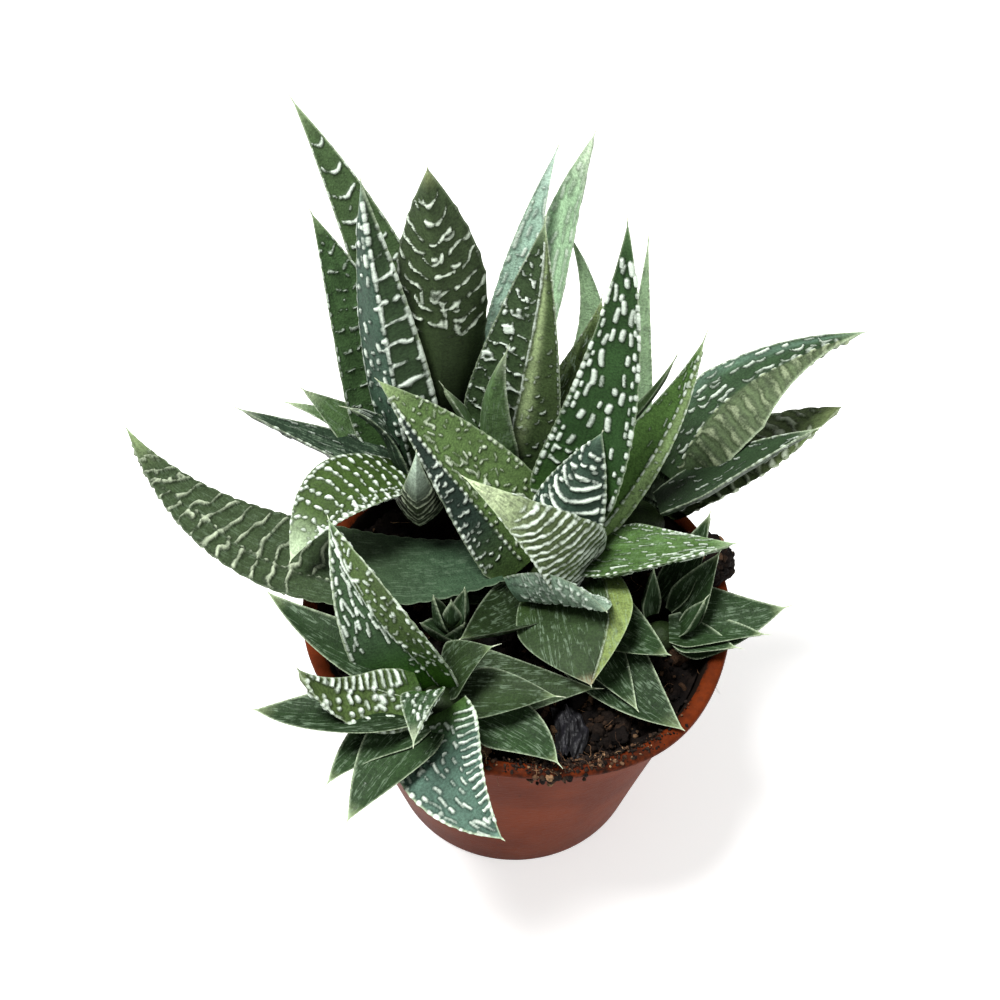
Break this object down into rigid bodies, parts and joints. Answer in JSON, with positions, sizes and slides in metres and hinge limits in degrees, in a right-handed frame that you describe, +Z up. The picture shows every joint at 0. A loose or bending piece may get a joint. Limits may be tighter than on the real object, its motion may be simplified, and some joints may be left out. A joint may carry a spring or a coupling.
{
  "type": "potted haworthia",
  "caption": "Clump of pointed, white-banded succulent rosettes with smaller offsets, growing in dark soil in a round tapered terracotta-coloured nursery pot with a thin flared lip.",
  "frame": {"origin": "centre of the underside of the pot, where it stands", "axes": "+Z up along the pot's axis, -Y towards the viewer of the picture, +X to the viewer's right"},
  "size_m": [0.159, 0.127, 0.138],
  "materials": {
    "pot": "satin, terracotta brown",
    "soil": "rough, loose peat",
    "dead_leaf": "dry and wrinkled",
    "leaf": "fleshy, slightly glossy, with raised white bumps"
  },
  "bodies": {
    "root": {"pot": "pot", "soil": "soil", "withered_leaf": "dead_leaf", "mother_rosette": "leaf", "back_left_rosette": "leaf", "back_rosette": "leaf", "right_rosette": "leaf", "front_left_rosette": "leaf", "right_pup": "leaf", "tiny_pup": "leaf"}
  },
  "joints": []
}
